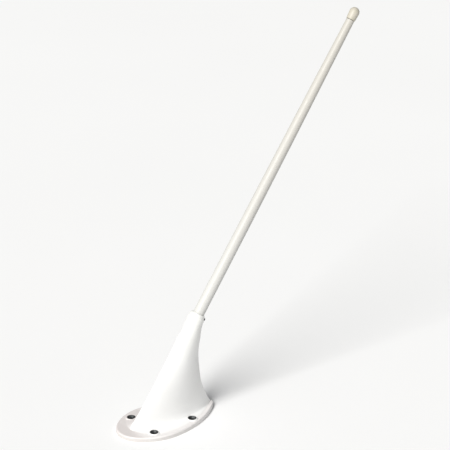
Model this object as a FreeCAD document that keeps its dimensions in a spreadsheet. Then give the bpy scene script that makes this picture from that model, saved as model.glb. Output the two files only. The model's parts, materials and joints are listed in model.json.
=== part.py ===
"""Fixed VHF whip antenna: a moulded fin base with a teardrop flange and a whip that leans aft.

Frame, in millimetres: the origin is the centre of the four mounting screws on the flange's
underside, +Z points away from the surface that the antenna is bolted to, +X points aft, the way
the whip leans, and the fin is symmetric about the XZ plane. The coaxial jack points along -Z.
"""
import FreeCAD, Part
import math
import os
import re

import Sketcher
from FreeCAD import Vector

# ---------------------------------------------------------------------------------------------
# Driving dimensions, in millimetres and degrees
# ---------------------------------------------------------------------------------------------

SIZES = {
    # mounting screws, number 10 countersunk, and their bushings
    "screw_spacing_x": 57.0, "screw_spacing_y": 47.0, "screw_clearance": 2.6,
    "sink_mouth": 4.9, "sink_depth": 1.95, "bushing_radius": 5.35,
    # flange: teardrop outline, rounded edge, low dome and cone-shaped screw bosses
    "flange_nose": -61.5, "flange_tail": 76.8, "flange_station": -8.4, "flange_half": 39.2,
    "flange_nose_round": 28.0, "flange_tail_round": 8.0, "flange_edge": 5.5,
    "flange_round": 1.8, "dome_tail_round": 1.5, "tail_share": 1.4,
    "boss_radius": 6.1, "boss_foot": 5.0, "boss_top": 6.6, "boss_slope": 45.0,
    # whip axis: centre of the neck's rim, and the lean from the vertical
    "rim_x": 56.74, "rim_z": 129.64, "whip_lean": 35.6, "neck_chord": 20.8, "neck_half": 10.2,
    "neck_round": 9.8, "shoulder": 2.4, "shoulder_long": 5.5, "collar_length": 7.0,
    "relief_radius": 8.9, "relief_foot": 11.0, "relief_long": 9.0, "relief_shift": 0.8,
    "relief_tilt": 5.1,
    "fin_station": 0.46,
    # underside: base plate recess, seal groove and plate screws
    "plate_inset": 5.6, "plate_thick": 2.5, "seal_inset": 1.7, "seal_width": 2.2,
    "seal_depth": 1.5, "plate_screw_radius": 1.5, "plate_screw_head": 2.9,
    "plate_screw_sink": 1.4, "plate_screw_length": 4.6, "plate_screw_mid_y": 26.0,
    "plate_screw_front": -47.0, "plate_screw_tail": 62.0, "plate_gap": 0.1,
    "plate_screw_socket": 0.6, "plate_screw_socket_deep": 0.5,
    # wall of the hollow fin: its nose and tail are a little thicker, its corners a little rounder
    "wall": 3.0, "cavity_start": 2.0, "end_share": 1.1, "round_share": 0.8,
    "cavity_tail_round": 1.0, "cut_margin": 2.0,
    # ferrule, its set screws and the ring that seals the whip into the neck
    "ferrule_radius": 7.9, "ferrule_length": 42.0, "ferrule_floor": 3.0, "ring_thick": 1.5,
    "passage_radius": 5.0, "passage_length": 14.0, "set_screw_radius": 1.5,
    "set_screw_down": 3.4, "set_screw_angle": 44.0, "set_screw_reach": 10.4,
    "set_screw_socket": 0.75, "set_screw_socket_deep": 1.6, "set_screw_gap": 0.02,
    "set_screw_chamfer": 0.2,
    # whip, measured along its axis from the rim
    "whip_radius": 7.0, "whip_middle_radius": 6.5, "whip_middle": 212.0,
    "whip_tip_radius": 5.1, "whip_length": 397.0, "whip_wall": 1.3, "radiator_radius": 1.5,
    "radiator_tail": 4.0, "plug_length": 12.0, "stem_radius": 2.4, "stem_length": 8.0,
    "disc_inset": 1.0,
    "core_gap": 0.2, "cap_radius": 6.2, "cap_base_radius": 5.7, "cap_length": 16.3,
    "cap_gap": 0.5, "cap_chamfer": 0.4,
    # coaxial bayonet jack
    "nose_radius": 4.84, "nose_length": 4.6, "barrel_radius": 4.6, "jack_drop": 14.2,
    "jack_bore": 4.1, "lug_radius": 1.0, "lug_span": 5.55, "lug_height": 5.75,
    "shoulder_thick": 2.4, "shoulder_flats": 16.0, "thread_radius": 6.35, "thread_top": 8.0,
    "jack_chamfer": 0.4, "jack_overlap": 0.3,
    "insulator_radius": 2.5, "insulator_recess": 0.6, "insulator_step": 8.6,
    "insert_radius": 4.1, "contact_recess": 0.4,
    "contact_radius": 1.1, "contact_hole": 0.68, "contact_hole_deep": 5.0,
    "contact_top": 11.0, "gasket_thick": 0.8, "gasket_radius": 7.9, "tag_thick": 0.6,
    "tag_radius": 8.0, "tag_reach": 14.5, "tag_width": 4.0, "tag_turn": 30.0,
    "washer_thick": 0.8, "washer_radius": 8.2, "nut_thick": 3.0,
    # matching board, its bracket and the parts on it
    "board_left": 8.0, "board_right": 40.0, "board_foot": 8.0, "board_head": 52.0,
    "board_thick": 1.6, "bracket_left": 12.0, "bracket_right": 36.0, "bracket_thick": 1.5,
    "bracket_depth": 8.2, "bracket_height": 17.5, "screw_inset": 5.0, "foot_screw_y": 6.0,
    "board_screw_z": 14.0, "small_screw_radius": 1.5, "small_head_radius": 2.7,
    "small_head_thick": 1.8, "small_head_slope": 0.5, "small_socket": 0.7,
    "small_socket_deep": 0.9, "foot_screw_short": 0.3, "board_screw_past": 0.8,
    "toroid_x": 23.0, "toroid_z": 36.0, "toroid_radius": 5.0,
    "toroid_section": 2.0, "winding_wire": 0.35, "winding_start": 15.0,
    "winding_spread": 330.0, "toroid_off": 3.6, "capacitor_left": 15.0,
    "capacitor_right": 32.0, "capacitor_z": 24.0, "capacitor_width": 7.0,
    "capacitor_height": 6.0, "capacitor_thick": 2.4, "capacitor_off": 1.2,
    "capacitor_legs": 5.0, "resistor_x": 36.0, "resistor_z": 42.0, "resistor_radius": 1.2,
    "resistor_length": 6.5, "resistor_off": 1.9, "resistor_legs": 5.3, "leg_radius": 0.3,
    "wire_radius": 0.65, "lead_x": 20.0, "lead_bend": 12.0, "feed_z": 20.0, "feed_bend": 4.0,
    "ground_z": 13.0, "ground_bend": 3.5,
}

# Fin sections: leading point, trailing point, half-width, nose radius and tail radius. Each one
# stands on the chord between its two points, so its plane tilts more and more towards the neck.
LEVELS = {
    "root": ((-47.0, 5.0), (74.0, 5.0), 26.0, 9.0, 1.5),
    "foot": ((-43.2, 8.5), (72.2, 8.5), 18.0, 7.6, 1.5),
    "shin": ((-36.6, 16.0), (68.2, 16.0), 13.7, 6.6, 1.6),
    "calf": ((-26.0, 30.0), (62.6, 28.0), 11.7, 6.0, 1.6),
    "knee": ((-11.5, 50.0), (58.5, 44.0), 11.2, 6.0, 1.9),
    "thigh": ((3.9, 72.0), (56.2, 63.0), 11.0, 6.2, 2.5),
    "waist": ((17.9, 92.0), (55.5, 82.0), 10.8, 6.8, 3.7),
    "chest": ((30.5, 110.0), (57.9, 99.0), 10.5, 7.7, 5.6),
    "throat": ((39.2, 122.5), (59.2, 111.5), 10.35, 8.6, 8.0),
}
CAVITY_LEVELS = ["foot", "shin", "calf", "knee", "thigh", "waist"]

# Low dome of the flange: height, nose, tail, half-width and nose radius of each section.
DOME = {
    "brim": (5.2, -48.0, 72.6, 37.0, 30.0),
    "slope": (6.8, -40.0, 71.6, 25.0, 17.0),
    "crown": (9.0, -30.0, 70.6, 12.8, 8.0),
}
TURN_COUNT = 16

# Tolerances: a length in millimetres and a volume in cubic millimetres.
HAIR = 1e-4
CRUMB = 1e-3

doc = FreeCAD.newDocument("WhipAntenna")
sheet = doc.addObject("Spreadsheet::Sheet", "Sizes")
nodes = []


def fill_sheet():
    """Write every driving dimension on a row of its own: its name, its value and its alias."""
    rows = dict(SIZES)
    for name, (lead, trail, half, nose_round, tail_round) in LEVELS.items():
        rows[f"{name}_lead_x"], rows[f"{name}_lead_z"] = lead
        rows[f"{name}_trail_x"], rows[f"{name}_trail_z"] = trail
        rows[f"{name}_half"] = half
        rows[f"{name}_nose_round"] = nose_round
        rows[f"{name}_tail_round"] = tail_round
    for name, values in DOME.items():
        for part, value in zip(("height", "nose", "tail", "half", "nose_round"), values):
            rows[f"{name}_{part}"] = value
    for row, (alias, value) in enumerate(rows.items(), start=1):
        sheet.set(f"A{row}", alias.replace("_", " "))
        sheet.set(f"B{row}", str(value))
        sheet.setAlias(f"B{row}", alias)
    doc.recompute()
    return set(rows)


ALIASES = fill_sheet()


# ---------------------------------------------------------------------------------------------
# Helpers
# ---------------------------------------------------------------------------------------------

def val(expression):
    """The number that an expression in the sheet's aliases stands for."""
    return float(sheet.evalExpression(str(expression)))


def linked(expression):
    """The same expression, with each alias looked up on the sheet."""
    return re.sub(
        r"[a-z_]+", lambda m: "Sizes." + m[0] if m[0] in ALIASES else m[0], str(expression)
    )


def place_text(x="0", y="0", z="0", axis="0; 0; 1", angle="0"):
    """An expression for a placement."""
    return f"placement(vector({x}; {y}; {z}); rotation(vector({axis}); {angle}))"


def on_whip(along="0"):
    """A placement on the whip's axis, with its Z along the whip, measured from the rim."""
    return place_text(
        f"rim_x + ({along}) * sin(whip_lean)", "0", f"rim_z + ({along}) * cos(whip_lean)",
        "0; 1; 0", "whip_lean",
    )


def place(thing, text):
    """Bind an object's placement to the sheet."""
    thing.setExpression("Placement", linked(text))


def keep(thing, label):
    """Give a finished sub-part the name of its node and list it for export."""
    thing.Label = label
    nodes.append(thing)
    return thing


def primitive(kind, name, text=None, **sizes):
    """A Part primitive with its sizes and its placement bound to the sheet."""
    thing = doc.addObject(f"Part::{kind}", name)
    for key, expression in sizes.items():
        thing.setExpression(key, linked(expression))
    place(thing, text or place_text())
    return thing


def joined(name, shapes):
    """Several shapes fused into one solid."""
    thing = doc.addObject("Part::MultiFuse", name)
    thing.Shapes = shapes
    thing.Refine = True
    return thing


def grouped(name, shapes):
    """Several solids in one node."""
    thing = doc.addObject("Part::Compound", name)
    thing.Links = shapes
    return thing


def less(name, base, tool):
    """One shape cut from another."""
    thing = doc.addObject("Part::Cut", name)
    thing.Base = base
    thing.Tool = tool
    return thing


def mirrored(name, source, normal):
    """A mirror copy through the origin."""
    thing = doc.addObject("Part::Mirroring", name)
    thing.Source = source
    thing.Normal = normal
    return thing


def four_corners(name, source):
    """The solid in the +X +Y corner and its three mirror images."""
    side = mirrored(f"{name}_side", source, Vector(0, 1, 0))
    pair = grouped(f"{name}_pair", [source, side])
    front = mirrored(f"{name}_front", pair, Vector(1, 0, 0))
    return grouped(name, [pair, front])


def new_body(name, text=None):
    """An empty body with its placement bound to the sheet."""
    body = doc.addObject("PartDesign::Body", name)
    place(body, text or place_text())
    return body


def new_sketch(body, name, role="XY_Plane", text=None):
    """A sketch on one of its body's own origin planes."""
    sketch = body.newObject("Sketcher::SketchObject", name)
    plane = next(item for item in body.Origin.OriginFeatures if item.Role == role)
    sketch.AttachmentSupport = [(plane, "")]
    sketch.MapMode = "FlatFace"
    if text:
        sketch.setExpression("AttachmentOffset", linked(text))
    return sketch


def hold(sketch, item, end, kind, expression):
    """Hold a point of a sketch at a DistanceX or DistanceY from the sketch's origin."""
    number = val(expression)
    if abs(number) < HAIR:
        axis = -2 if kind == "DistanceX" else -1
        sketch.addConstraint(Sketcher.Constraint("PointOnObject", item, end, axis))
        return
    points = (-1, 1, item, end) if number > 0 else (item, end, -1, 1)
    index = sketch.addConstraint(Sketcher.Constraint(kind, *points, abs(number)))
    signed = expression if number > 0 else f"-({expression})"
    sketch.setExpression(f"Constraints[{index}]", linked(signed))


def pin_point(sketch, item, end, x, y):
    """Hold one point of a sketch at x, y, both expressions in the sheet's aliases."""
    hold(sketch, item, end, "DistanceX", x)
    hold(sketch, item, end, "DistanceY", y)


def size_arc(sketch, item, radius):
    """Give an arc or circle its radius."""
    index = sketch.addConstraint(Sketcher.Constraint("Radius", item, val(radius)))
    sketch.setExpression(f"Constraints[{index}]", linked(radius))


def closed_profile(sketch, points, bows=None):
    """A closed run of lines through points; bows gives a middle point where a side is an arc."""
    bows = bows or {}
    corners = [Vector(val(x), val(y), 0) for x, y in points]
    for side, start in enumerate(corners):
        end = corners[(side + 1) % len(corners)]
        if side in bows:
            middle = Vector(val(bows[side][0]), val(bows[side][1]), 0)
            sketch.addGeometry(Part.Arc(start, middle, end))
        else:
            sketch.addGeometry(Part.LineSegment(start, end))
    ends = []
    for side, start in enumerate(corners):
        first = sketch.getPoint(side, 1).isEqual(start, HAIR)
        ends.append((1, 2) if first else (2, 1))
    for side in range(len(corners)):
        after = (side + 1) % len(corners)
        joint = Sketcher.Constraint("Coincident", side, ends[side][1], after, ends[after][0])
        sketch.addConstraint(joint)
    for side, (x, y) in enumerate(points):
        pin_point(sketch, side, ends[side][0], x, y)
    for side, (x, y) in bows.items():
        dot = sketch.addGeometry(Part.Point(Vector(val(x), val(y), 0)), True)
        pin_point(sketch, dot, 1, x, y)
        sketch.addConstraint(Sketcher.Constraint("PointOnObject", dot, 1, side))


def teardrop(sketch, chord, station, half, nose_round, tail_round, start="0"):
    """A closed outline of six tangent arcs, from its nose at start to its tail at chord.

    The flanks run level at station, where the outline is widest; their radii follow from the
    tangent joints.
    """
    tip, tail, wide = val(start), val(chord), val(f"{start} + {station}")
    width, nose, round_ = val(half), val(nose_round), val(tail_round)
    front = ((wide - tip - nose) ** 2 / (width - nose) + nose + width) / 2
    rear = ((tail - wide - round_) ** 2 / (width - round_) + round_ + width) / 2
    nose_turn = math.atan2(front - width, tip + nose - wide)
    tail_turn = math.atan2(rear - width, tail - round_ - wide)
    arcs = [
        (wide, width - rear, rear, tail_turn, math.pi / 2),
        (wide, width - front, front, math.pi / 2, nose_turn),
        (tip + nose, 0, nose, nose_turn, 2 * math.pi - nose_turn),
        (wide, front - width, front, 2 * math.pi - nose_turn, 1.5 * math.pi),
        (wide, rear - width, rear, 1.5 * math.pi, 2 * math.pi - tail_turn),
        (tail - round_, 0, round_, -tail_turn, tail_turn),
    ]
    items = []
    for x, y, radius, begin, end in arcs:
        circle = Part.Circle(Vector(x, y, 0), Vector(0, 0, 1), radius)
        items.append(sketch.addGeometry(Part.ArcOfCircle(circle, begin, end)))
    for item, after in zip(items, items[1:] + items[:1]):
        sketch.addConstraint(Sketcher.Constraint("Tangent", item, 2, after, 1))
    upper, _, bow, lower, _, stern = items
    size_arc(sketch, bow, nose_round)
    size_arc(sketch, stern, tail_round)
    pin_point(sketch, bow, 3, f"{start} + {nose_round}", "0")
    pin_point(sketch, stern, 3, f"{chord} - ({tail_round})", "0")
    pin_point(sketch, upper, 2, f"{start} + {station}", half)
    pin_point(sketch, lower, 2, f"{start} + {station}", f"-({half})")
    sketch.addConstraint(Sketcher.Constraint("Vertical", upper, 2, upper, 3))
    sketch.addConstraint(Sketcher.Constraint("Vertical", lower, 2, lower, 3))


def flange_outline(body, name, *insets):
    """The flange's outline moved inwards, once or more; its tail moves in further."""
    sketch = new_sketch(body, name, text=place_text("flange_nose"))
    for inset in insets:
        teardrop(
            sketch, f"flange_tail - flange_nose - tail_share * ({inset})",
            f"flange_station - flange_nose - ({inset})", f"flange_half - ({inset})",
            f"flange_nose_round - ({inset})", "flange_tail_round", start=inset,
        )
    return sketch


def feature(body, kind, name, **properties):
    """Add a PartDesign feature, set it up and make it the tip."""
    thing = body.newObject(f"PartDesign::{kind}", name)
    for key, value in properties.items():
        setattr(thing, key, value)
    body.Tip = thing
    return thing


def pad(body, name, sketch, length, kind="Pad", flip=False):
    """A pad or pocket whose length is bound to the sheet. A pocket has to take material away."""
    before = body.Shape.Volume if body.Tip else 0.0
    thing = feature(body, kind, name, Profile=sketch, Reversed=flip)
    thing.setExpression("Length", linked(length))
    doc.recompute()
    if kind == "Pocket" and body.Shape.Volume > before - CRUMB:
        raise RuntimeError(f"{name} cuts nothing")
    return thing


def spin(body, name, sketch, kind="Revolution"):
    """A full turn of a sketch about its own vertical axis. A groove has to take material away."""
    before = body.Shape.Volume if body.Tip else 0.0
    thing = feature(body, kind, name, Profile=sketch, ReferenceAxis=(sketch, ["V_Axis"]))
    thing.Angle = 360
    doc.recompute()
    if kind == "Groove" and body.Shape.Volume > before - CRUMB:
        raise RuntimeError(f"{name} cuts nothing")
    return thing


def loft(body, name, sketches, kind="AdditiveLoft", ruled=False):
    """A loft through sketches, smooth unless it is ruled."""
    before = body.Shape.Volume if body.Tip else 0.0
    thing = feature(body, kind, name, Profile=sketches[0], Sections=sketches[1:], Ruled=ruled)
    doc.recompute()
    if kind == "SubtractiveLoft" and body.Shape.Volume > before - CRUMB:
        raise RuntimeError(f"{name} cuts nothing")
    return thing


def round_edges(body, name, height, radius):
    """Round the edges that lie level at a height."""
    shape = body.Shape
    chosen = [
        f"Edge{number}" for number, edge in enumerate(shape.Edges, start=1)
        if abs(edge.BoundBox.ZMin - height) < HAIR and abs(edge.BoundBox.ZMax - height) < HAIR
    ]
    thing = feature(body, "Fillet", name, Base=(body.Tip, chosen))
    thing.setExpression("Radius", linked(radius))
    doc.recompute()
    return thing


def turned(label, points, text=None, bows=None):
    """A body made by turning a closed profile (radius, height) about its own Z."""
    body = new_body(label, text)
    sketch = new_sketch(body, f"{label}_profile", "XZ_Plane")
    closed_profile(sketch, points, bows)
    spin(body, f"{label}_turn", sketch)
    return body


def circles(sketch, centres, radius):
    """Equal circles, given by their centres."""
    for x, y in centres:
        circle = Part.Circle(Vector(val(x), val(y), 0), Vector(0, 0, 1), val(radius))
        item = sketch.addGeometry(circle)
        size_arc(sketch, item, radius)
        pin_point(sketch, item, 3, x, y)


SCREWS = [
    (f"{x} * screw_spacing_x / 2", f"{y} * screw_spacing_y / 2") for x in (1, -1) for y in (1, -1)
]
PLATE_SCREWS = [
    ("plate_screw_front", "0"), ("plate_screw_tail", "0"), ("0", "plate_screw_mid_y"),
    ("0", "-plate_screw_mid_y"),
]


# ---------------------------------------------------------------------------------------------
# Moulded base
# ---------------------------------------------------------------------------------------------

def hollow(sketch, long, level):
    """The outline of a fin section whose chord is long, moved inwards by the wall."""
    teardrop(sketch, f"{long} - 2 * end_share * wall",
             f"fin_station * {long} - end_share * wall", f"{level}_half - wall",
             f"{level}_nose_round - round_share * wall", "cavity_tail_round",
             start="end_share * wall")


def section(body, name, level, inside=False):
    """One fin section on its tilted chord plane, moved inwards for the cavity."""
    run = f"({level}_trail_x - {level}_lead_x)"
    drop = f"({level}_lead_z - {level}_trail_z)"
    text = place_text(
        f"{level}_lead_x", "0", f"{level}_lead_z", "0; 1; 0", f"atan({drop} / {run})"
    )
    sketch = new_sketch(body, name, text=text)
    long = f"sqrt({run} ^ 2 + {drop} ^ 2)"
    if inside:
        hollow(sketch, long, level)
    else:
        teardrop(sketch, long, f"fin_station * {long}", f"{level}_half",
                 f"{level}_nose_round", f"{level}_tail_round")
    return sketch


def neck_section(body, name, along):
    """A nearly round section square to the whip, measured from the rim."""
    text = place_text(
        f"rim_x + ({along}) * sin(whip_lean) - neck_chord / 2 * cos(whip_lean)", "0",
        f"rim_z + ({along}) * cos(whip_lean) + neck_chord / 2 * sin(whip_lean)",
        "0; 1; 0", "whip_lean",
    )
    sketch = new_sketch(body, name, text=text)
    teardrop(sketch, "neck_chord", "neck_chord / 2", "neck_half", "neck_round", "neck_round")
    return sketch


def whip_sketch(body, name):
    """A sketch in the XZ plane with its origin at the rim's centre and its Y along the whip."""
    text = place_text("rim_x", "rim_z", "0", "0; 0; 1", "-whip_lean")
    return new_sketch(body, name, "XZ_Plane", text)


def set_screw_place(side):
    """A set screw's axis: square to the whip, off the aft direction by the set screw angle."""
    return (
        f"placement(vector(rim_x - set_screw_down * sin(whip_lean); 0; "
        f"rim_z - set_screw_down * cos(whip_lean)); rotation(vector(0; 1; 0); whip_lean) * "
        f"rotation(vector(0; 0; 1); {side} * set_screw_angle) * "
        f"rotation(vector(0; 1; 0); 90))"
    )


def fin_shell():
    """The white moulding: flange, dome, bosses and fin, hollow, with seats for what it holds."""
    body = new_body("fin_shell")
    pad(body, "flange", flange_outline(body, "flange_outline", "0"), "flange_edge")
    round_edges(body, "flange_edge_round", val("flange_edge"), "flange_round")
    dome = []
    for name in DOME:
        text = place_text(f"{name}_nose", "0", f"{name}_height")
        sketch = new_sketch(body, f"dome_{name}", text=text)
        teardrop(sketch, f"{name}_tail - {name}_nose", f"flange_station - {name}_nose",
                 f"{name}_half", f"{name}_nose_round", "dome_tail_round")
        dome.append(sketch)
    loft(body, "dome", dome)
    sections = [section(body, f"fin_{level}", level) for level in LEVELS]
    sections.append(neck_section(body, "fin_collar", "-collar_length"))
    sections.append(neck_section(body, "fin_rim", "0"))
    loft(body, "fin", sections)
    bosses = new_sketch(body, "boss_circles", text=place_text("0", "0", "boss_foot"))
    rise = "(boss_top - boss_foot)"
    circles(bosses, SCREWS, f"boss_radius + {rise} * tan(boss_slope)")
    cones = pad(body, "bosses", bosses, rise)
    cones.setExpression("TaperAngle", linked("-boss_slope"))
    doc.recompute()
    corner = whip_sketch(body, "shoulder_profile")
    outer = "(neck_chord / 2)"
    closed_profile(
        corner,
        [(f"{outer} - shoulder", "0"), (outer, "-shoulder_long"),
         (f"{outer} + cut_margin", "-shoulder_long"), (f"{outer} + cut_margin", "cut_margin"),
         (f"{outer} - shoulder", "cut_margin")],
        bows={0: (f"{outer} - shoulder * (1 - sin(45))", "-shoulder_long * (1 - cos(45))")},
    )
    spin(body, "neck_shoulder", corner, "Groove")
    relief = new_sketch(body, "neck_relief_profile", "XZ_Plane", place_text(
        "rim_x - relief_shift * cos(whip_lean)", "rim_z + relief_shift * sin(whip_lean)", "0",
        "0; 0; 1", "relief_tilt - whip_lean",
    ))
    closed_profile(relief, [
        ("relief_radius", "0"), ("relief_foot", "-relief_long"),
        ("relief_foot + cut_margin", "-relief_long"), ("relief_foot + cut_margin", "cut_margin"),
        ("relief_radius", "cut_margin"),
    ])
    spin(body, "neck_relief", relief, "Groove")
    recess = flange_outline(body, "plate_recess_outline", "plate_inset")
    pad(body, "plate_recess", recess, "plate_thick", "Pocket", flip=True)
    start = new_sketch(
        body, "cavity_start", text=place_text("foot_lead_x", "0", "cavity_start")
    )
    hollow(start, "(foot_trail_x - foot_lead_x)", "foot")
    inner = [section(body, f"cavity_{level}", level, inside=True) for level in CAVITY_LEVELS]
    loft(body, "cavity", [start] + inner, "SubtractiveLoft", ruled=True)
    seat = whip_sketch(body, "ferrule_seat_profile")
    foot = "(-ferrule_length - passage_length)"
    closed_profile(seat, [
        ("0", "cut_margin"), ("ferrule_radius", "cut_margin"),
        ("ferrule_radius", "-ferrule_length"),
        ("passage_radius", "-ferrule_length"), ("passage_radius", foot), ("0", foot),
    ])
    spin(body, "ferrule_seat", seat, "Groove")
    groove = flange_outline(body, "seal_groove_outline", "seal_inset", "seal_inset + seal_width")
    pad(body, "seal_groove", groove, "seal_depth", "Pocket", flip=True)
    holes = new_sketch(body, "bushing_hole_circles", text=place_text("0", "0", "plate_thick"))
    circles(holes, SCREWS, "bushing_radius")
    pad(body, "bushing_holes", holes, "boss_top + cut_margin", "Pocket", flip=True)
    pilots = new_sketch(body, "pilot_circles")
    circles(pilots, PLATE_SCREWS, "plate_screw_radius")
    pad(body, "pilot_holes", pilots, "plate_screw_length", "Pocket", flip=True)
    for side in (1, -1):
        hole = feature(body, "SubtractiveCylinder", f"set_screw_hole_{'ab'[side < 0]}")
        hole.setExpression("Radius", linked("set_screw_radius"))
        hole.setExpression("Height", linked("set_screw_reach + cut_margin"))
        hole.setExpression("AttachmentOffset", linked(set_screw_place(side)))
        plane = next(f for f in body.Origin.OriginFeatures if f.Role == "XY_Plane")
        hole.AttachmentSupport = [(plane, "")]
        hole.MapMode = "FlatFace"
        doc.recompute()
    keep(body, "fin_shell")


# ---------------------------------------------------------------------------------------------
# Underside: bushings, base plate and its screws, seal
# ---------------------------------------------------------------------------------------------

def screw_bushings():
    """Countersunk metal bushings that carry the mounting screws through the moulding."""
    corner_x, corner_y = SCREWS[0]
    bushing = turned("bushing", [
        ("screw_clearance", "plate_thick"), ("bushing_radius", "plate_thick"),
        ("bushing_radius", "boss_top"), ("sink_mouth", "boss_top"),
        ("screw_clearance", "boss_top - sink_depth"),
    ], place_text(corner_x, corner_y))
    keep(four_corners("screw_bushings", bushing), "screw_bushings")


def base_plate():
    """The aluminium plate let into the underside, which grounds the antenna to the skin."""
    body = new_body("base_plate")
    pad(body, "plate", flange_outline(body, "plate_outline", "plate_inset + plate_gap"), "plate_thick")
    holes = new_sketch(body, "plate_holes_sketch")
    circles(holes, SCREWS, "screw_clearance")
    circles(holes, [("0", "0")], "thread_radius")
    circles(holes, BRACKET_SCREWS, "small_screw_radius")
    pad(body, "plate_holes", holes, "plate_thick", "Pocket", flip=True)
    for number, (x, y) in enumerate(PLATE_SCREWS):
        text = place_text(x, "0", f"-({y})")
        sink = new_sketch(body, f"plate_sink_{number}_profile", "XZ_Plane", text)
        closed_profile(sink, [
            ("0", "0"), ("plate_screw_head", "0"), ("plate_screw_radius", "plate_screw_sink"),
            ("plate_screw_radius", "plate_thick"), ("0", "plate_thick"),
        ])
        spin(body, f"plate_sink_{number}", sink, "Groove")
    keep(body, "base_plate")


def plate_screws():
    """Countersunk screws that hold the plate in the moulding."""
    screws = []
    for number, (x, y) in enumerate(PLATE_SCREWS):
        screws.append(turned(f"plate_screw_{number}", [
            ("0", "plate_screw_socket_deep"), ("plate_screw_socket", "plate_screw_socket_deep"),
            ("plate_screw_socket", "0"), ("plate_screw_head", "0"),
            ("plate_screw_radius", "plate_screw_sink"),
            ("plate_screw_radius", "plate_screw_length"), ("0", "plate_screw_length"),
        ], place_text(x, y)))
    keep(grouped("plate_screws", screws), "plate_screws")


def flange_seal():
    """The rubber cord in its groove round the underside, as it is when it is squeezed flat."""
    body = new_body("flange_seal")
    ring = flange_outline(body, "seal_outline", "seal_inset", "seal_inset + seal_width")
    pad(body, "seal", ring, "seal_depth")
    keep(body, "flange_seal")


# ---------------------------------------------------------------------------------------------
# Coaxial jack and what fastens it to the plate
# ---------------------------------------------------------------------------------------------

def hexagon(name, flats, low, thick):
    """A six-sided prism across the given flats."""
    return primitive(
        "Prism", name, place_text("0", "0", low), Circumradius=f"({flats}) / 2 / cos(30)",
        Height=thick,
    )


def connector_shell():
    """The jack's body: bayonet barrel with two lugs, hexagonal shoulder and threaded shank."""
    mouth = "(-jack_drop)"
    turned_body = turned("jack_turned", [
        ("jack_bore", mouth), ("nose_radius - jack_chamfer", mouth),
        ("nose_radius", f"{mouth} + jack_chamfer"), ("nose_radius", f"{mouth} + nose_length"),
        ("barrel_radius", f"{mouth} + nose_length"), ("barrel_radius", "-gasket_thick"),
        ("thread_radius", "-gasket_thick"), ("thread_radius", "thread_top"),
        ("jack_bore", "thread_top"),
    ])
    shoulder = hexagon("jack_hexagon", "shoulder_flats", "-gasket_thick - shoulder_thick",
                       "shoulder_thick")
    hole = primitive("Cylinder", "jack_hexagon_hole",
                     place_text("0", "0", "-gasket_thick - shoulder_thick"),
                     Radius="barrel_radius - jack_overlap", Height="shoulder_thick")
    lugs = primitive("Cylinder", "jack_lug_rod",
                     place_text("0", "-lug_span", f"{mouth} + lug_height", "1; 0; 0", "-90"),
                     Radius="lug_radius", Height="2 * lug_span")
    bore = primitive("Cylinder", "jack_lug_hole", place_text("0", "0", mouth),
                     Radius="barrel_radius - jack_overlap", Height="jack_drop")
    collar = less("jack_shoulder", shoulder, hole)
    studs = less("jack_lugs", lugs, bore)
    keep(joined("connector_shell", [turned_body, collar, studs]), "connector_shell")


def jack_inside():
    """The insulator and the centre contact inside the jack."""
    mouth = "(-jack_drop)"
    keep(turned("connector_insulator", [
        ("contact_radius", f"{mouth} + insulator_recess"),
        ("insulator_radius", f"{mouth} + insulator_recess"),
        ("insulator_radius", f"{mouth} + insulator_step"),
        ("insert_radius", f"{mouth} + insulator_step"), ("insert_radius", "thread_top"),
        ("contact_radius", "thread_top"),
    ]), "connector_insulator")
    foot = f"({mouth} + insulator_recess + contact_recess)"
    keep(turned("connector_contact", [
        ("contact_hole", foot), ("contact_radius", foot), ("contact_radius", "contact_top"),
        ("0", "contact_top"), ("0", f"{foot} + contact_hole_deep"),
        ("contact_hole", f"{foot} + contact_hole_deep"),
    ]), "connector_contact")


def jack_fastening():
    """The gasket under the plate, and above it the ground tag, lock washer and nut."""
    keep(turned("connector_gasket", [
        ("thread_radius", "-gasket_thick"), ("gasket_radius", "-gasket_thick"),
        ("gasket_radius", "0"), ("thread_radius", "0"),
    ]), "connector_gasket")
    tag = new_body("ground_tag", place_text("0", "0", "plate_thick", "0; 0; 1", "tag_turn"))
    ring = new_sketch(tag, "tag_ring_circles")
    circles(ring, [("0", "0")], "tag_radius")
    pad(tag, "tag_ring", ring, "tag_thick")
    arm = new_sketch(tag, "tag_arm_outline")
    half = "(tag_width / 2)"
    closed_profile(arm, [
        ("0", f"-{half}"), (f"tag_reach - {half}", f"-{half}"), (f"tag_reach - {half}", half),
        ("0", half),
    ], bows={1: ("tag_reach", "0")})
    pad(tag, "tag_arm", arm, "tag_thick")
    hole = new_sketch(tag, "tag_hole_circles")
    circles(hole, [("0", "0")], "thread_radius")
    circles(hole, [(f"tag_reach - {half}", "0")], "wire_radius")
    pad(tag, "tag_holes", hole, "tag_thick", "Pocket", flip=True)
    keep(tag, "ground_tag")
    low = "(plate_thick + tag_thick)"
    keep(turned("connector_washer", [
        ("thread_radius", low), ("washer_radius", low),
        ("washer_radius", f"{low} + washer_thick"), ("thread_radius", f"{low} + washer_thick"),
    ]), "connector_washer")
    base = f"({low} + washer_thick)"
    block = hexagon("nut_hexagon", "shoulder_flats", base, "nut_thick")
    thread = primitive("Cylinder", "nut_thread", place_text("0", "0", base),
                       Radius="thread_radius", Height="nut_thick")
    keep(less("connector_nut", block, thread), "connector_nut")


# ---------------------------------------------------------------------------------------------
# Matching network
# ---------------------------------------------------------------------------------------------

BRACKET_SCREWS = [
    (f"bracket_{side} {sign} screw_inset", "-foot_screw_y")
    for side, sign in (("left", "+"), ("right", "-"))
]
BOARD_BACK = "(-board_thick / 2)"
BOARD_FACE = "(board_thick / 2)"


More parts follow.
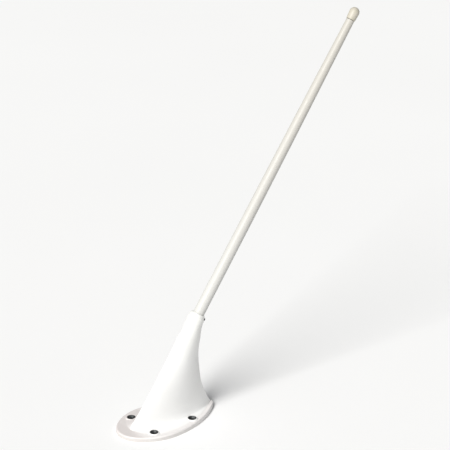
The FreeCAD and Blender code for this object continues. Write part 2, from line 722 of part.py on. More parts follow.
def board_bracket():
    """The bent bracket that stands the matching board on the plate."""
    long = "bracket_right - bracket_left"
    foot = primitive(
        "Box", "bracket_foot",
        place_text("bracket_left", f"{BOARD_BACK} - bracket_depth", "plate_thick"),
        Length=long, Width="bracket_depth", Height="bracket_thick",
    )
    wall = primitive(
        "Box", "bracket_wall",
        place_text("bracket_left", f"{BOARD_BACK} - bracket_thick", "plate_thick"),
        Length=long, Width="bracket_thick", Height="bracket_height",
    )
    holes = []
    for number, (x, y) in enumerate(BRACKET_SCREWS):
        holes.append(primitive(
            "Cylinder", f"bracket_foot_hole_{number}", place_text(x, y, "plate_thick"),
            Radius="small_screw_radius", Height="bracket_thick",
        ))
        holes.append(primitive(
            "Cylinder", f"bracket_wall_hole_{number}",
            place_text(x, BOARD_BACK, "board_screw_z", "1; 0; 0", "90"),
            Radius="small_screw_radius", Height="bracket_thick",
        ))
    bent = joined("bracket_bent", [foot, wall])
    keep(less("board_bracket", bent, grouped("bracket_holes", holes)), "board_bracket")


def pan_screw(name, length, text):
    """A pan-head screw with its head on +Z and its shank downwards, with a driver socket."""
    return turned(name, [
        ("0", f"-({length})"), ("small_screw_radius", f"-({length})"),
        ("small_screw_radius", "0"), ("small_head_radius", "0"),
        ("small_head_radius - small_head_slope", "small_head_thick"),
        ("small_socket", "small_head_thick"),
        ("small_socket", "small_head_thick - small_socket_deep"),
        ("0", "small_head_thick - small_socket_deep"),
    ], text)


def small_screws():
    """The screws of the bracket's foot, and those that hold the board to the bracket."""
    feet = [
        pan_screw(f"foot_screw_{number}", "plate_thick + bracket_thick - foot_screw_short",
                  place_text(x, y, "plate_thick + bracket_thick"))
        for number, (x, y) in enumerate(BRACKET_SCREWS)
    ]
    keep(grouped("bracket_screws", feet), "bracket_screws")
    boards = [
        pan_screw(f"board_screw_{number}", "board_thick + bracket_thick + board_screw_past",
                  place_text(x, BOARD_FACE, "board_screw_z", "1; 0; 0", "-90"))
        for number, (x, y) in enumerate(BRACKET_SCREWS)
    ]
    keep(grouped("board_screws", boards), "board_screws")


def matching_board():
    """The printed circuit that matches the whip to the jack."""
    sheet_of_board = primitive(
        "Box", "board_blank", place_text("board_left", BOARD_BACK, "board_foot"),
        Length="board_right - board_left", Width="board_thick",
        Height="board_head - board_foot",
    )
    holes = [
        primitive("Cylinder", f"board_hole_{number}",
                  place_text(x, BOARD_FACE, "board_screw_z", "1; 0; 0", "90"),
                  Radius="small_screw_radius", Height="board_thick")
        for number, (x, y) in enumerate(BRACKET_SCREWS)
    ]
    keep(less("matching_board", sheet_of_board, grouped("board_holes", holes)),
         "matching_board")


def toroid():
    """The matching transformer: a ring core that lies against the board, and its turns."""
    centre = f"({BOARD_FACE} + toroid_off)"
    text = place_text("toroid_x", centre, "toroid_z", "1; 0; 0", "90")
    core = primitive("Torus", "toroid_core", text, Radius1="toroid_radius",
                     Radius2="toroid_section")
    keep(core, "toroid_core")
    turns = []
    for number in range(TURN_COUNT):
        angle = f"{number} * winding_spread / {TURN_COUNT} + winding_start"
        text = (
            f"placement(vector(toroid_x; {centre}; toroid_z); rotation(vector(1; 0; 0); 90) * "
            f"rotation(vector(0; 0; 1); {angle})) * placement(vector(toroid_radius; 0; 0); "
            f"rotation(vector(1; 0; 0); 90))"
        )
        turns.append(primitive(
            "Torus", f"turn_{number}", text, Radius1="toroid_section + winding_wire",
            Radius2="winding_wire",
        ))
    keep(grouped("toroid_winding", turns), "toroid_winding")


def legged(name, block, span, x, z, off, upright):
    """A part that stands off the board's face on two wire legs."""
    legs = []
    for side in (-1, 1):
        shift = f"{side} * ({span}) / 2"
        spot = (x, f"{z} + {shift}") if upright else (f"{x} + {shift}", z)
        legs.append(primitive(
            "Cylinder", f"{name}_leg_{'ab'[side > 0]}",
            place_text(spot[0], BOARD_FACE, spot[1], "1; 0; 0", "-90"),
            Radius="leg_radius", Height=off,
        ))
    return joined(name, [block] + legs)


def board_parts():
    """The capacitors and the drain resistor on the board."""
    capacitors = []
    z = "capacitor_z"
    for number, x in enumerate(("capacitor_left", "capacitor_right")):
        base = f"({BOARD_FACE} + capacitor_off)"
        block = primitive(
            "Box", f"capacitor_block_{number}",
            place_text(f"{x} - capacitor_width / 2", base, f"{z} - capacitor_height / 2"),
            Length="capacitor_width", Width="capacitor_thick", Height="capacitor_height",
        )
        capacitors.append(legged(
            f"capacitor_{number}", block, "capacitor_legs", x, z,
            "capacitor_off + capacitor_thick / 2", False,
        ))
    keep(grouped("matching_capacitors", capacitors), "matching_capacitors")
    x, z = "resistor_x", "resistor_z"
    rod = primitive(
        "Cylinder", "resistor_rod",
        place_text(x, f"{BOARD_FACE} + resistor_off", f"{z} - resistor_length / 2"),
        Radius="resistor_radius", Height="resistor_length",
    )
    resistor = legged("drain_resistor", rod, "resistor_legs", x, z, "resistor_off", True)
    keep(resistor, "drain_resistor")


def bent_wire(label, text, rise, run_x, run_z, bend, lean):
    """A wire that starts straight up, turns once and ends at (run_x, run_z) in its XZ plane."""
    body = new_body(label, text)
    path = new_sketch(body, f"{label}_path", "XZ_Plane")
    turn, radius, angle = val(rise), val(bend), math.radians(val(lean))
    reach = radius * math.tan(angle / 2)
    start, corner = Vector(0, 0, 0), Vector(0, turn, 0)
    onward = Vector(math.sin(angle), math.cos(angle), 0)
    first, last = corner - Vector(0, reach, 0), corner + onward * reach
    end = Vector(val(run_x), val(run_z), 0)
    centre = first + Vector(radius, 0, 0)
    path.addGeometry(Part.LineSegment(start, first))
    arc = Part.ArcOfCircle(
        Part.Circle(centre, Vector(0, 0, 1), radius), math.pi - angle, math.pi
    )
    path.addGeometry(arc)
    path.addGeometry(Part.LineSegment(last, end))
    path.addConstraint(Sketcher.Constraint("Coincident", 0, 1, -1, 1))
    path.addConstraint(Sketcher.Constraint("Vertical", 0))
    path.addConstraint(Sketcher.Constraint("Tangent", 0, 2, 1, 2))
    path.addConstraint(Sketcher.Constraint("Tangent", 1, 1, 2, 1))
    size_arc(path, 1, bend)
    pin_point(path, 2, 2, run_x, run_z)
    hold(path, 0, 2, "DistanceY", f"{rise} - {bend} * tan(({lean}) / 2)")
    ring = new_sketch(body, f"{label}_ring")
    circles(ring, [("0", "0")], "wire_radius")
    doc.recompute()
    feature(body, "AdditivePipe", f"{label}_pipe", Profile=ring, Spine=path)
    doc.recompute()
    keep(body, label)


def wires():
    """The feed wire, the ground wire and the lead up to the whip's radiator."""
    bent_wire("feed_wire", place_text("0", "0", "contact_top"), "feed_z - contact_top",
              "board_left", "feed_z - contact_top", "feed_bend", "90")
    arm = "(tag_reach - tag_width / 2)"
    spot = (f"{arm} * cos(tag_turn)", f"{arm} * sin(tag_turn)")
    low = "plate_thick"
    bent_wire("ground_wire", place_text(spot[0], spot[1], low, "0; 0; 1", "-90"),
              f"ground_z - {low}", f"{spot[1]} - {BOARD_FACE}", f"ground_z - {low}",
              "ground_bend", "90")
    end = "(ferrule_length + radiator_tail)"
    end_x = f"(rim_x - {end} * sin(whip_lean) - lead_x)"
    end_z = f"(rim_z - {end} * cos(whip_lean) - board_head)"
    bend_z = f"({end_z} - {end_x} / tan(whip_lean))"
    bent_wire("radiator_lead", place_text("lead_x", "0", "board_head"), bend_z, end_x, end_z,
              "lead_bend", "whip_lean")


# ---------------------------------------------------------------------------------------------
# Whip
# ---------------------------------------------------------------------------------------------

def whip_ferrule():
    """The brass socket in the neck that grips the foot of the whip."""
    body = turned("whip_ferrule", [
        ("radiator_radius", "-ferrule_length"), ("ferrule_radius", "-ferrule_length"),
        ("ferrule_radius", "-ring_thick"), ("whip_radius", "-ring_thick"),
        ("whip_radius", "-ferrule_length + ferrule_floor"),
        ("radiator_radius", "-ferrule_length + ferrule_floor"),
    ], on_whip())
    for side in (1, -1):
        hole = feature(body, "SubtractiveCylinder", f"ferrule_hole_{'ab'[side < 0]}")
        hole.setExpression("Radius", linked("set_screw_radius"))
        hole.setExpression("Height", linked("set_screw_reach"))
        plane = next(f for f in body.Origin.OriginFeatures if f.Role == "XY_Plane")
        hole.AttachmentSupport = [(plane, "")]
        hole.MapMode = "FlatFace"
        hole.setExpression("AttachmentOffset", linked(
            f"placement(vector(0; 0; -set_screw_down); rotation(vector(0; 0; 1); "
            f"{side} * set_screw_angle) * rotation(vector(0; 1; 0); 90))"
        ))
        doc.recompute()
    keep(body, "whip_ferrule")


def set_screws():
    """The two socket set screws that lock the whip in the ferrule."""
    screws = [
        turned(f"set_screw_{'ab'[side < 0]}", [
            ("0", "whip_radius + set_screw_gap"),
            ("set_screw_radius", "whip_radius + set_screw_gap"),
            ("set_screw_radius", "set_screw_reach - set_screw_chamfer"),
            ("set_screw_radius - set_screw_chamfer", "set_screw_reach"),
            ("set_screw_socket", "set_screw_reach"),
            ("set_screw_socket", "set_screw_reach - set_screw_socket_deep"),
            ("0", "set_screw_reach - set_screw_socket_deep"),
        ], set_screw_place(side))
        for side in (1, -1)
    ]
    keep(grouped("set_screws", screws), "set_screws")


def whip():
    """The glass fibre tube, its core, the radiator inside, and the ring at the neck."""
    keep(turned("neck_ring", [
        ("whip_radius", "-ring_thick"), ("ferrule_radius", "-ring_thick"),
        ("ferrule_radius", "0"), ("whip_radius", "0"),
    ], on_whip()), "neck_ring")
    foot = "(-ferrule_length + ferrule_floor)"
    keep(turned("whip_tube", [
        ("whip_radius - whip_wall", foot), ("whip_radius", foot), ("whip_radius", "0"),
        ("whip_tip_radius", "whip_length"), ("whip_tip_radius - whip_wall", "whip_length"),
        ("whip_radius - whip_wall", "0"),
    ], on_whip(), bows={
        2: ("whip_middle_radius", "whip_middle"),
        4: ("whip_middle_radius - whip_wall", "whip_middle"),
    }), "whip_tube")
    top = "(whip_length - plug_length)"
    keep(turned("radiator", [
        ("0", "-ferrule_length - radiator_tail"),
        ("radiator_radius", "-ferrule_length - radiator_tail"), ("radiator_radius", top),
        ("0", top),
    ], on_whip()), "radiator")
    keep(turned("whip_core", [
        ("radiator_radius", foot), ("whip_radius - whip_wall - core_gap", foot),
        ("whip_radius - whip_wall - core_gap", "0"), ("whip_tip_radius - whip_wall", top),
        ("radiator_radius", top),
    ], on_whip(), bows={
        2: ("whip_middle_radius - whip_wall - core_gap", "whip_middle"),
    }), "whip_core")
    keep(turned("tip_plug", [
        ("0", top), ("whip_tip_radius - whip_wall", top),
        ("whip_tip_radius - whip_wall", "whip_length"),
        ("cap_base_radius - disc_inset", "whip_length"),
        ("cap_base_radius - disc_inset", "whip_length + cap_gap"),
        ("stem_radius", "whip_length + cap_gap"),
        ("stem_radius", "whip_length + cap_gap + stem_length"),
        ("0", "whip_length + cap_gap + stem_length"),
    ], on_whip()), "tip_plug")
    base = "(whip_length + cap_gap)"
    crown = f"({base} + cap_length - cap_radius)"
    keep(turned("tip_cap", [
        ("stem_radius", base), ("cap_base_radius - cap_chamfer", base),
        ("cap_base_radius", f"{base} + cap_chamfer"), ("cap_radius", crown),
        ("0", f"{base} + cap_length"), ("0", f"{base} + stem_length"),
        ("stem_radius", f"{base} + stem_length"),
    ], on_whip(), bows={
        3: ("cap_radius * sin(45)", f"{crown} + cap_radius * cos(45)"),
    }), "tip_cap")


# ---------------------------------------------------------------------------------------------
# Build, check and write
# ---------------------------------------------------------------------------------------------

def check_document():
    """Stop if any object failed, or if a sub-part's shape is empty or broken."""
    for item in doc.Objects:
        if {"Invalid", "Error"} & set(item.State):
            raise RuntimeError(f"{item.Name} is {item.State}")
    for node in nodes:
        if node.Shape.isNull() or not node.Shape.isValid() or not node.Shape.Solids:
            raise RuntimeError(f"{node.Label} has no good shape")


def write_parts():
    """Write one STEP file for each node."""
    os.makedirs("parts", exist_ok=True)
    for node in nodes:
        node.Shape.exportStep(f"parts/{node.Label}.step")
        print(f"{node.Label}: {len(node.Shape.Solids)} solid(s), {node.Shape.Volume:.1f} mm3")


for build in (
    fin_shell, screw_bushings, base_plate, plate_screws, flange_seal, connector_shell,
    jack_inside, jack_fastening, board_bracket, small_screws, matching_board, toroid,
    board_parts, wires, whip_ferrule, set_screws, whip,
):
    build()
doc.recompute()
check_document()
write_parts()
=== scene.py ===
import json
import math

import bmesh
import bpy
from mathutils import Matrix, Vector


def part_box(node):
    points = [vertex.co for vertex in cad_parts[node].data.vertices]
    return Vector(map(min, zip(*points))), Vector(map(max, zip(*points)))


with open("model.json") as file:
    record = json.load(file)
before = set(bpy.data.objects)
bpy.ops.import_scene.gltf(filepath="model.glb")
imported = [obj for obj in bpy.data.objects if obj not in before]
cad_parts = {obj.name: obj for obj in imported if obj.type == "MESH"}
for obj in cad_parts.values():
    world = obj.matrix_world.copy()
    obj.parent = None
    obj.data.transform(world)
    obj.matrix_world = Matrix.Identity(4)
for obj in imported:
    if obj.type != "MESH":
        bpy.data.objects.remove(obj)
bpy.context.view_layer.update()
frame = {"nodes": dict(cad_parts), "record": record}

MM = 0.001
NOISE_LOW, NOISE_HIGH = 0.3, 0.7  # most of what a noise texture gives lies between these

# ---------------------------------------------------------------------------------------------
# Places that the frame gives, and lengths on the moulding and the floor
# ---------------------------------------------------------------------------------------------


def middle(node):
    """The centre of a CAD node's box."""
    low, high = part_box(node)
    return (low + high) / 2


NECK = middle("neck_ring")
TIP = middle("tip_cap")
WHIP_AXIS = (TIP - NECK).normalized()
WHIP_LENGTH = (TIP - NECK).length
BUSHING_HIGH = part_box("screw_bushings")[1]
BUSHING_RADIUS = 5.35 * MM
HOLE = Vector((BUSHING_HIGH.x - BUSHING_RADIUS, BUSHING_HIGH.y - BUSHING_RADIUS))
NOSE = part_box("fin_shell")[0].x

# Where the moulding's tone and its painted shade change, each a (start, stop) along one axis
RIM_TOP = (5.55 * MM, 5.95 * MM)             # Z: just above the flange's flat rim
NOSE_END = (NOSE + 14 * MM, NOSE + 22 * MM)  # X: the painted shade on the nose ends
FAR_SIDE = (2 * MM, 12 * MM)                 # Y: the painted shade on the far side begins
FAR_REAR = (-12 * MM, 8 * MM)                # X: and where it ends towards the rear
FAR_TOP = (7.5 * MM, 10 * MM)                # Z: and upwards
WALL_TOP = (3.6 * MM, 4.4 * MM)              # Z: the flange's wall rounds over
WALL_REAR = (-25 * MM, 45 * MM)              # X: the wall's painted shade fades out
NECK_RISE = (75 * MM, 125 * MM)              # Z: the painted shade towards the neck comes in
FOOT_DARK_TOP = (0.0, 2.5 * MM)                  # Z: the darkening thins out up the wall
RUBBED = (5.3 * MM, 7.4 * MM)                # outwards from a mounting screw's axis

FLOOR_HOLE = 10.5 * MM                       # radius that clears the jack
FLOOR_SPREAD = 3000                          # outer radius as a multiple of the hole's
FLOOR_DROP = 0.05 * MM                       # keeps the floor clear of the mounting face


# ---------------------------------------------------------------------------------------------
# Materials
# ---------------------------------------------------------------------------------------------

class Paint:
    """One material: its principled shader, and short ways to add the nodes that feed it."""

    def __init__(self, name, colour, **finish):
        self.material = bpy.data.materials.new(name)
        self.material.use_nodes = True
        self.tree = self.material.node_tree
        self.shader = self.tree.nodes["Principled BSDF"]
        self.set("Base Color", (*colour, 1.0))
        for socket, value in finish.items():
            self.set(socket.replace("_", " "), value)
        self.point = self.add("ShaderNodeTexCoord").outputs["Object"]

    def set(self, socket, value):
        """Give one socket of the shader a value or a link."""
        self.feed(self.shader.inputs[socket], value)

    def feed(self, socket, value):
        """Give any socket a value, or link it to another node's output."""
        if isinstance(value, bpy.types.NodeSocket):
            self.tree.links.new(value, socket)
        else:
            socket.default_value = value

    def add(self, kind, inputs=None, **settings):
        """A new node with its inputs filled in, by name or by number."""
        made = self.tree.nodes.new(kind)
        for key, value in settings.items():
            setattr(made, key, value)
        for key, value in (inputs or {}).items():
            self.feed(made.inputs[key], value)
        return made

    def maths(self, operation, first, second=0.0):
        """One step of arithmetic."""
        made = self.add("ShaderNodeMath", {0: first, 1: second}, operation=operation)
        return made.outputs[0]

    def vector(self, operation, first, second=(0, 0, 0), output="Vector"):
        """One step of vector arithmetic."""
        made = self.add("ShaderNodeVectorMath", {0: first, 1: second}, operation=operation)
        return made.outputs[output]

    def noise(self, size, detail, point=None):
        """Noise whose features are about size across."""
        made = self.add("ShaderNodeTexNoise", {
            "Vector": point or self.point, "Scale": 1.0 / size, "Detail": detail,
        })
        return made.outputs[0]

    def cells(self, size, feature="F1"):
        """Distance to the nearest of scattered points, or to the edge between two of them."""
        made = self.add("ShaderNodeTexVoronoi", {
            "Vector": self.point, "Scale": 1.0 / size,
        }, feature=feature)
        return made.outputs["Distance"]

    def span(self, value, start, stop, low=0.0, high=1.0):
        """Bring a value that runs from start to stop to the range from low to high."""
        made = self.add("ShaderNodeMapRange", {
            "Value": value, "From Min": start, "From Max": stop, "To Min": low, "To Max": high,
        })
        return made.outputs["Result"]

    def ramp(self, value, *stops):
        """A colour for each value, from (position, colour) stops."""
        made = self.add("ShaderNodeValToRGB", {"Fac": value})
        elements = made.color_ramp.elements
        while len(elements) < len(stops):
            elements.new(0.5)
        for element, (position, colour) in zip(elements, stops):
            element.position = position
            element.color = (*colour, 1.0)
        return made.outputs["Color"]

    def mottled(self, size, dark, light, detail=4):
        """A tone that wanders from dark to light over patches about size across."""
        return self.ramp(self.noise(size, detail), (NOISE_LOW, dark), (NOISE_HIGH, light))

    def layered(self, tone, *layers):
        """A tone with colours laid over it in turn, from (share, colour) layers."""
        for share, colour in layers:
            made = self.add("ShaderNodeMix", {0: share, 6: tone, 7: (*colour, 1.0)},
                            data_type="RGBA")
            tone = made.outputs[2]
        return tone

    def rings(self, distance, pitch):
        """A wave that repeats once for each pitch of a distance."""
        return self.maths("SINE", self.maths("MULTIPLY", distance, 2 * math.pi / pitch))

    def vary_roughness(self, size, low, high, detail=4):
        """Roughness that wanders from low to high over patches about size across."""
        patches = self.noise(size, detail)
        self.set("Roughness", self.span(patches, NOISE_LOW, NOISE_HIGH, low, high))

    def stretched(self, along, across, axis=(1, 0, 0)):
        """The object's coordinates, drawn out along an axis: features get long that way."""
        turn = Vector(axis).rotation_difference(Vector((1, 0, 0))).to_euler()
        made = self.add("ShaderNodeMapping", {
            "Vector": self.point, "Rotation": turn,
            "Scale": (1.0 / along, 1.0 / across, 1.0 / across),
        })
        return made.outputs["Vector"]

    def bump(self, *layers):
        """Bump from (height, depth in metres) layers."""
        normal = None
        for height, depth in layers:
            inputs = {"Strength": 1.0, "Distance": depth, "Height": height}
            if normal:
                inputs["Normal"] = normal
            normal = self.add("ShaderNodeBump", inputs).outputs["Normal"]
        self.set("Normal", normal)

    def place(self):
        """The X, Y and Z of each point, by name."""
        return self.add("ShaderNodeSeparateXYZ", {0: self.point}).outputs

    def height(self):
        """The height above the mounting face."""
        return self.place()["Z"]

    def along_whip(self):
        """How far along the whip from its neck, in metres."""
        away = self.vector("SUBTRACT", self.point, tuple(NECK))
        return self.vector("DOT_PRODUCT", away, tuple(WHIP_AXIS), output="Value")

    def from_hole(self):
        """Distance from the axis of the nearest mounting screw."""
        away = self.vector("SUBTRACT", self.vector("ABSOLUTE", self.point), (HOLE.x, HOLE.y, 0))
        flat = self.vector("MULTIPLY", away, (1, 1, 0))
        return self.vector("LENGTH", flat, output="Value")


def white_moulding():
    """Painted moulding: soft gloss over fine orange peel.

    Painted shade darkens the flat rim, most of all at the nose, and the flange's far side.
    More painted shade darkens the flange's wall, and the upper fin towards the neck. The wall is
    also darker in patches towards its foot, and the paint is rubbed round the mounting screws.
    """
    paint = Paint("white_moulding", (0.84, 0.83, 0.81), Coat_Weight=0.3, Coat_Roughness=0.2)
    place = paint.place()
    # Painted shade on the flat rim, strongest at the nose
    rim = paint.maths("MULTIPLY", paint.span(place["Z"], *RIM_TOP, 1.0, 0.0),
                      paint.span(place["X"], *NOSE_END, 1.0, 0.5))
    # Painted shade on the flange's far side
    far = paint.maths("MULTIPLY", paint.span(place["Y"], *FAR_SIDE, 0.0, 0.9),
                      paint.span(place["X"], *FAR_REAR, 1.0, 0.0))
    far = paint.maths("MULTIPLY", far, paint.span(place["Z"], *FAR_TOP, 1.0, 0.0))
    # Painted shade on the flange's wall, fading out towards the rear
    wall = paint.maths("MULTIPLY", paint.span(place["Z"], *WALL_TOP, 1.0, 0.0),
                       paint.span(place["X"], *WALL_REAR, 0.65, 0.0))
    # Darker in patches towards the foot of the wall
    foot_darkening = paint.maths("MULTIPLY", paint.span(place["Z"], *FOOT_DARK_TOP, 0.4, 0.0),
                        paint.span(paint.noise(8 * MM, 4), 0.4, 0.75))
    rub = paint.maths("MULTIPLY", paint.span(paint.from_hole(), *RUBBED, 0.35, 0.0),
                      paint.span(paint.noise(1.5 * MM, 3), 0.35, 0.7))
    paint.set("Base Color", paint.layered(
        paint.mottled(34 * MM, (0.862, 0.858, 0.845), (0.885, 0.884, 0.876), detail=3),
        # The colour of the painted shade on the rim and the far side
        (paint.maths("MAXIMUM", rim, far), (0.72, 0.675, 0.66)),
        # The wall's painted shade
        (wall, (0.55, 0.53, 0.51)),
        # Painted shade: the upper fin darker towards the neck
        (paint.span(place["Z"], *NECK_RISE, 0.0, 0.8), (0.80, 0.80, 0.77)),
        (paint.span(paint.cells(3.4 * MM), 0.04, 0.09, 0.30, 0.0), (0.62, 0.60, 0.56)),
        (foot_darkening, (0.60, 0.57, 0.52)),
        (rub, (0.66, 0.65, 0.63)),
    ))
    paint.vary_roughness(7 * MM, 0.34, 0.46)
    paint.bump((paint.noise(22 * MM, 1), 0.05 * MM), (paint.noise(1.3 * MM, 2), 0.008 * MM))
    return paint.material


def whip_white():
    """Painted glass fibre: faint streaks along the tube, and a tone that grows warmer and, as
    painted shade, darker towards the tip.
    """
    paint = Paint("whip_white", (0.65, 0.64, 0.60), Specular_IOR_Level=0.3)
    # Warmer towards the tip is the paint's own tone; darker towards the tip is painted shade for
    # the light falling off up the whip
    tone = paint.ramp(paint.span(paint.along_whip(), 0.0, WHIP_LENGTH),
                      (0.0, (0.64, 0.64, 0.62)), (0.35, (0.58, 0.57, 0.54)),
                      (1.0, (0.525, 0.505, 0.46)))
    streaks = paint.noise(1.0, 3, paint.stretched(60 * MM, 1.1 * MM, WHIP_AXIS))
    paint.set("Base Color", paint.layered(
        tone,
        (paint.span(streaks, 0.35, 0.75, 0.0, 0.30), (0.52, 0.49, 0.44)),
        (paint.span(paint.cells(6 * MM), 0.04, 0.08, 0.5, 0.0), (0.46, 0.43, 0.38)),
    ))
    paint.vary_roughness(9 * MM, 0.36, 0.52)
    paint.bump((streaks, 0.05 * MM), (paint.noise(1.4 * MM, 2), 0.02 * MM))
    return paint.material


def cream_cap():
    """Moulded cap: creamy, softly glossy, a little dirty at its lower edge."""
    paint = Paint("cream_cap", (0.55, 0.51, 0.43), Specular_IOR_Level=0.35)
    tone = paint.mottled(6 * MM, (0.50, 0.47, 0.385), (0.55, 0.515, 0.445), detail=3)
    edge = paint.span(paint.along_whip(), WHIP_LENGTH - 8 * MM, WHIP_LENGTH - 5.5 * MM, 0.8, 0.0)
    dirt = paint.maths("MULTIPLY", edge, paint.span(paint.noise(2 * MM, 4), 0.3, 0.65))
    paint.set("Base Color", paint.layered(tone, (dirt, (0.36, 0.31, 0.23))))
    paint.vary_roughness(4 * MM, 0.34, 0.5)
    paint.bump((paint.noise(5 * MM, 2), 0.12 * MM), (paint.noise(0.7 * MM, 2), 0.012 * MM))
    return paint.material


def dark_bushing():
    """Dark passivated steel with the rings that turning leaves, and a painted highlight round its
    rim.
    """
    paint = Paint("dark_bushing", (0.10, 0.11, 0.12), Metallic=0.85)
    radius = paint.from_hole()
    tone = paint.ramp(paint.noise(2.2 * MM, 4), (0.3, (0.04, 0.048, 0.052)),
                      (0.75, (0.13, 0.13, 0.127)))
    # Painted highlight: a lighter ring at the bushing's rim
    rim_highlight = paint.span(radius, 4.9 * MM, 5.2 * MM, 0.0, 0.5)
    paint.set("Base Color", paint.layered(tone, (rim_highlight, (0.22, 0.22, 0.215))))
    paint.vary_roughness(1.5 * MM, 0.42, 0.62, detail=3)
    paint.bump((paint.rings(radius, 0.22 * MM), 0.012 * MM),
               (paint.noise(0.9 * MM, 3), 0.02 * MM))
    return paint.material


def metal(name, dark, light, rough, grain=None, rings=None, tarnish=4 * MM):
    """A metal: tone and roughness vary, over brushed grain or turned rings."""
    change = 0.12  # how far the stains and the lines each move the roughness
    paint = Paint(name, light, Metallic=1.0)
    stain = paint.noise(tarnish, 4)
    paint.set("Base Color", paint.ramp(stain, (NOISE_LOW, dark), (NOISE_HIGH, light)))
    if grain:
        lines = paint.noise(1.0, 3, paint.stretched(*grain))
    else:
        lines = paint.span(paint.rings(rings(paint), 0.3 * MM), -1.0, 1.0)
    paint.set("Roughness", paint.maths(
        "ADD", paint.span(lines, NOISE_LOW, NOISE_HIGH, 0.0, change),
        paint.span(stain, NOISE_LOW, NOISE_HIGH, rough, rough - change),
    ))
    paint.bump((lines, 0.01 * MM), (paint.noise(0.8 * MM, 3), 0.008 * MM))
    return paint.material


def plate_aluminium():
    """Bare sheet aluminium, brushed fore and aft."""
    return metal("plate_aluminium", (0.50, 0.51, 0.52), (0.72, 0.73, 0.74), 0.42,
                 grain=(40 * MM, 0.25 * MM), tarnish=14 * MM)


def screw_steel():
    """Zinc-plated steel."""
    return metal("screw_steel", (0.34, 0.34, 0.33), (0.62, 0.61, 0.58), 0.42,
                 grain=(0.3 * MM, 0.3 * MM))


def nickel_plate():
    """Bright nickel with fine turned rings."""
    return metal("nickel_plate", (0.42, 0.40, 0.36), (0.70, 0.68, 0.63), 0.30, rings=Paint.height)


def tinned_brass():
    """Tinned sheet brass, worn to yellow in places."""
    return metal("tinned_brass", (0.52, 0.42, 0.22), (0.72, 0.70, 0.64), 0.4,
                 grain=(6 * MM, 0.3 * MM))


def gold_contact():
    """Gold plate."""
    return metal("gold_contact", (0.62, 0.40, 0.12), (0.90, 0.66, 0.28), 0.25, rings=Paint.height)


def ferrule_brass():
    """Turned brass, dulled."""
    return metal("ferrule_brass", (0.40, 0.26, 0.09), (0.72, 0.54, 0.22), 0.4,
                 rings=Paint.along_whip)


def bare_copper():
    """Drawn copper rod, slightly oxidised."""
    return metal("bare_copper", (0.40, 0.14, 0.06), (0.78, 0.38, 0.22), 0.4,
                 grain=(30 * MM, 0.3 * MM, WHIP_AXIS))


def enamelled_copper():
    """Copper wire under amber enamel."""
    return metal("enamelled_copper", (0.38, 0.10, 0.03), (0.70, 0.25, 0.09), 0.3,
                 grain=(1 * MM, 1 * MM))


def tinned_wire():
    """Tinned copper wire."""
    return metal("tinned_wire", (0.46, 0.45, 0.43), (0.74, 0.74, 0.72), 0.35,
                 grain=(5 * MM, 0.2 * MM, (0, 0, 1)))


def black_steel():
    """Black oxide on steel, lighter in small patches."""
    return metal("black_steel", (0.02, 0.02, 0.022), (0.10, 0.10, 0.11), 0.45,
                 grain=(0.4 * MM, 0.4 * MM), tarnish=1.5 * MM)


def dull(name, dark, light, size, rough, depth, **finish):
    """A plain matt material: mottled tone, varied roughness and a fine uneven surface."""
    paint = Paint(name, light, **finish)
    paint.set("Base Color", paint.mottled(size, dark, light))
    paint.vary_roughness(size * 0.6, rough - 0.1, rough)
    paint.bump((paint.noise(size * 0.3, 3), depth), (paint.noise(size * 0.08, 2), depth * 0.3))
    return paint.material


def black_rubber():
    """Black rubber with a dusty bloom."""
    return dull("black_rubber", (0.018, 0.018, 0.019), (0.05, 0.05, 0.05), 5 * MM, 0.8,
                0.05 * MM, Sheen_Weight=0.15)


def white_insulator():
    """White fluoropolymer."""
    return dull("white_insulator", (0.74, 0.73, 0.70), (0.82, 0.82, 0.80), 3 * MM, 0.5,
                0.02 * MM, Subsurface_Weight=0.1, Subsurface_Scale=1 * MM)


def grey_sealant():
    """Light grey sealant, smoothed by hand and a little dusty."""
    return dull("grey_sealant", (0.56, 0.55, 0.52), (0.70, 0.69, 0.66), 3 * MM, 0.6,
                0.10 * MM)


def dipped_mica():
    """Brown dipped coating."""
    return dull("dipped_mica", (0.16, 0.045, 0.02), (0.26, 0.08, 0.035), 3 * MM, 0.35,
                0.06 * MM, Coat_Weight=0.4)


def ferrite():
    """Sintered ferrite."""
    return dull("ferrite", (0.03, 0.03, 0.032), (0.065, 0.065, 0.07), 1.2 * MM, 0.7, 0.03 * MM)


def foam_core():
    """Closed-cell foam."""
    return dull("foam_core", (0.62, 0.58, 0.45), (0.76, 0.73, 0.62), 1.2 * MM, 0.9, 0.15 * MM)


def dark_plug():
    """Dark moulded plastic."""
    return dull("dark_plug", (0.03, 0.028, 0.026), (0.07, 0.065, 0.06), 3 * MM, 0.55, 0.03 * MM)


def resistor_body():
    """Tan lacquer with three plain bands round it."""
    tan = (0.45, 0.32, 0.17)
    paint = Paint("resistor_body", tan, Coat_Weight=0.3)
    low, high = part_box("drain_resistor")
    bands = paint.ramp(paint.span(paint.height(), low.z, high.z), (0.0, tan),
                       (0.24, (0.25, 0.05, 0.02)), (0.34, tan),
                       (0.46, (0.03, 0.03, 0.03)), (0.56, tan),
                       (0.68, (0.5, 0.18, 0.02)), (0.78, tan))
    bands.node.color_ramp.interpolation = "CONSTANT"
    paint.set("Base Color", bands)
    paint.vary_roughness(1 * MM, 0.3, 0.45, detail=3)
    paint.bump((paint.noise(1.2 * MM, 2), 0.03 * MM))
    return paint.material


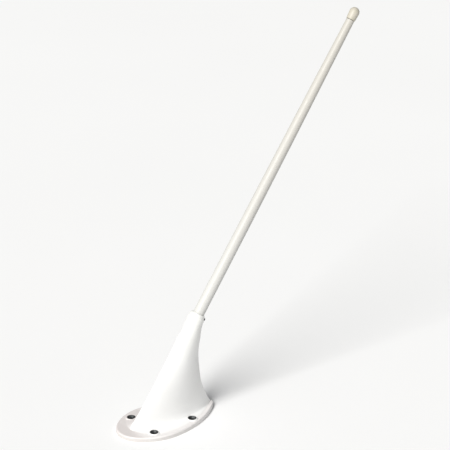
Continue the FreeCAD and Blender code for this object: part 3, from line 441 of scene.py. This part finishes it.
def circuit_board():
    """Glass fibre board: green resist over the weave, paler and raised over its tracks."""
    paint = Paint("circuit_board", (0.02, 0.12, 0.05), Coat_Weight=0.3, Coat_Roughness=0.2)
    thread = 12000  # radians per metre: the weave repeats about every 0.5 mm
    warp, weft = (
        paint.maths("SINE", paint.vector("DOT_PRODUCT", paint.point, way, output="Value"))
        for way in ((thread, 0, 0), (0, 0, thread))
    )
    weave = paint.span(paint.maths("MULTIPLY", warp, weft), -1.0, 1.0)
    green = paint.ramp(weave, (0.0, (0.012, 0.10, 0.035)), (1.0, (0.03, 0.17, 0.065)))
    tracks = paint.span(paint.cells(7 * MM, feature="DISTANCE_TO_EDGE"), 0.05, 0.07, 1.0, 0.0)
    paint.set("Base Color", paint.layered(green, (tracks, (0.05, 0.23, 0.09))))
    paint.vary_roughness(2 * MM, 0.28, 0.42, detail=3)
    paint.bump((weave, 0.01 * MM), (tracks, 0.03 * MM))
    return paint.material


MATERIALS = (
    white_moulding, dark_bushing, plate_aluminium, screw_steel, black_rubber, nickel_plate,
    white_insulator, gold_contact, tinned_brass, circuit_board, ferrite, enamelled_copper,
    dipped_mica, resistor_body, tinned_wire, ferrule_brass, black_steel, grey_sealant,
    whip_white, bare_copper, foam_core, dark_plug, cream_cap,
)


def finish_nodes():
    """Give each CAD node the material of its slot in the record."""
    made = {make.__name__: make() for make in MATERIALS}
    slots = {row["node"]: row["material_slot"] for row in frame["record"]["subparts"]}
    for name, piece in frame["nodes"].items():
        piece.data.materials.clear()
        piece.data.materials.append(made[slots[name]])


# ---------------------------------------------------------------------------------------------
# Stage
# ---------------------------------------------------------------------------------------------

def floor():
    """A plain pale surface that the antenna is bolted to, with a hole for its jack."""
    mesh = bpy.data.meshes.new("floor")
    work = bmesh.new()
    hole = bmesh.ops.create_circle(work, radius=FLOOR_HOLE, segments=96)["verts"]
    rim = bmesh.ops.extrude_edge_only(work, edges=work.edges[:])["geom"]
    outer = [item for item in rim if isinstance(item, bmesh.types.BMVert)]
    bmesh.ops.scale(work, vec=(FLOOR_SPREAD, FLOOR_SPREAD, 1), verts=outer)
    bmesh.ops.translate(work, vec=(0, 0, -FLOOR_DROP), verts=hole + outer)
    work.to_mesh(mesh)
    work.free()
    piece = bpy.data.objects.new("floor", mesh)
    bpy.context.scene.collection.objects.link(piece)
    paint = Paint("pale_floor", (0.91, 0.91, 0.91), Roughness=0.8)
    paint.set("Base Color", paint.mottled(0.4, (0.905, 0.905, 0.905), (0.915, 0.915, 0.915),
                                          detail=2))
    mesh.materials.append(paint.material)


def lights():
    """A soft key from the front left and an even pale surround."""
    world = bpy.data.worlds.new("surround")
    bpy.context.scene.world = world
    world.use_nodes = True
    backdrop = world.node_tree.nodes["Background"]
    backdrop.inputs["Color"].default_value = (0.94, 0.97, 1.0, 1.0)
    backdrop.inputs["Strength"].default_value = 0.21
    key = bpy.data.lights.new("key", "SUN")
    key.energy = 4.0
    key.angle = math.radians(30)
    key.color = (1.0, 0.99, 0.97)
    piece = bpy.data.objects.new("key", key)
    bpy.context.scene.collection.objects.link(piece)
    towards_key = Vector((-0.70, -0.24, 0.67))
    piece.rotation_euler = towards_key.to_track_quat("Z", "Y").to_euler()
    bpy.context.scene.view_settings.view_transform = "Standard"


def camera():
    """The camera, a long way off with a long lens."""
    azimuth, elevation, distance = math.radians(-37.875), math.radians(23.603), 2.5
    aim = Vector((0.097, 0.0, 0.2347))
    back = Vector((math.sin(azimuth) * math.cos(elevation),
                   -math.cos(azimuth) * math.cos(elevation), math.sin(elevation)))
    data = bpy.data.cameras.new("camera")
    data.sensor_width = 36.0
    data.lens = 167.7
    piece = bpy.data.objects.new("camera", data)
    bpy.context.scene.collection.objects.link(piece)
    piece.location = aim + back * distance
    piece.rotation_euler = (-back).to_track_quat("-Z", "Y").to_euler()
    bpy.context.scene.camera = piece


camera()
finish_nodes()
floor()
lights()
